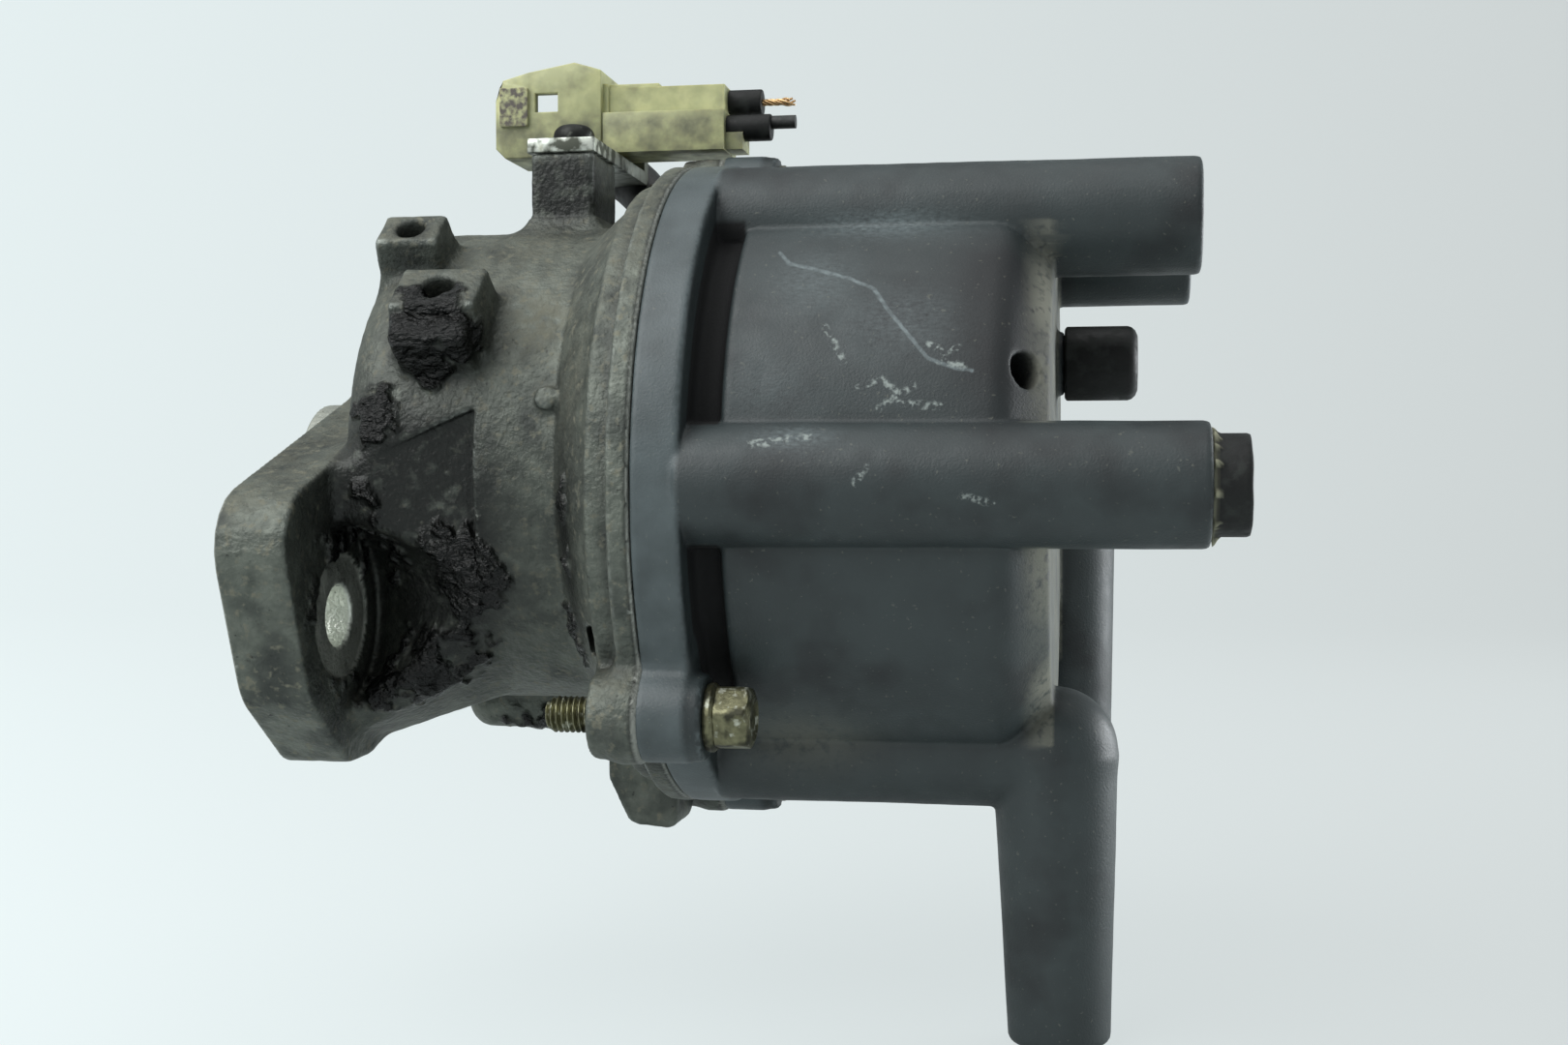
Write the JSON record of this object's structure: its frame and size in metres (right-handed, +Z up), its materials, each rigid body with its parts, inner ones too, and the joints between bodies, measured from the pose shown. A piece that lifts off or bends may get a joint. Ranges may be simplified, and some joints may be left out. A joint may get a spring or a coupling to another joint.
{
  "type": "ignition distributor",
  "caption": "Ignition distributor: flanged cast housing with drive shaft, rotor and timing pick-up under a screwed-on moulded cap with straight and elbowed lead towers.",
  "frame": {"origin": "centre of the mounting face on the shaft axis", "axes": "+X along the shaft from the mounting face to the cap, +Z up as in the picture, +Y away from the picture's camera"},
  "size_m": [0.146, 0.1002, 0.1503],
  "materials": {
    "cast_aluminium": "die cast, grimed with oil and dust",
    "cap_moulding": "moulded, scuffed",
    "black_rubber": "moulded",
    "lead_sleeve": "extruded",
    "yellow_zinc": "yellow zinc plating, worn",
    "bright_zinc": "bright zinc plating",
    "dark_steel": "oxidised and oily",
    "steel": "ground",
    "brass": "stamped",
    "bronze": "sintered",
    "carbon": "pressed graphite",
    "coil_winding": "taped",
    "rotor_moulding": "moulded",
    "natural_nylon": "moulded, yellowed and dirty",
    "copper": "drawn"
  },
  "bodies": {
    "root": {"bearing_balls": "steel", "bearing_outer_race": "steel", "bearing_retainer": "bright_zinc", "bracket_screw": "dark_steel", "brush_spring": "steel", "cap_bolts": "yellow_zinc", "cap_gasket": "black_rubber", "coil_contact": "brass", "connector_bracket": "bright_zinc", "connector_plug": "natural_nylon", "connector_socket": "natural_nylon", "cut_copper_strand": "copper", "cut_lead": "lead_sleeve", "distributor_cap": "cap_moulding", "dust_shield": "bright_zinc", "housing": "cast_aluminium", "lead_boot_stub": "black_rubber", "pickup_coil": "coil_winding", "pickup_core": "steel", "pickup_lead": "lead_sleeve", "pickup_plate": "bright_zinc", "pickup_screws": "bright_zinc", "plug_contacts": "brass", "retainer_screws": "bright_zinc", "shaft_bush": "bronze", "shaft_seal": "black_rubber", "spigot_o_ring": "black_rubber", "thrust_washer": "steel", "vent_plug": "black_rubber", "wire_seals": "black_rubber"},
    "rotating_group": {"drive_shaft": "steel", "drive_dog": "steel", "dog_pin": "steel", "bearing_inner_race": "steel", "signal_rotor": "steel", "rotor_arm": "rotor_moulding", "rotor_blade": "brass", "rotor_screws": "brass"},
    "brush": {"carbon_brush": "carbon"}
  },
  "joints": [
    {"name": "shaft_spin", "type": "hinge", "parent": "root", "child": "rotating_group", "pos_m": [0.03, 0, 0], "axis": [1, 0, 0], "continuous": true},
    {"name": "brush_slide", "type": "slide", "parent": "root", "child": "brush", "axis": [1, 0, 0], "range_m": [0, 0.0015], "stiffness_N_per_m": 300, "springref_m": -0.002, "deforming": ["brush_spring"]}
  ]
}
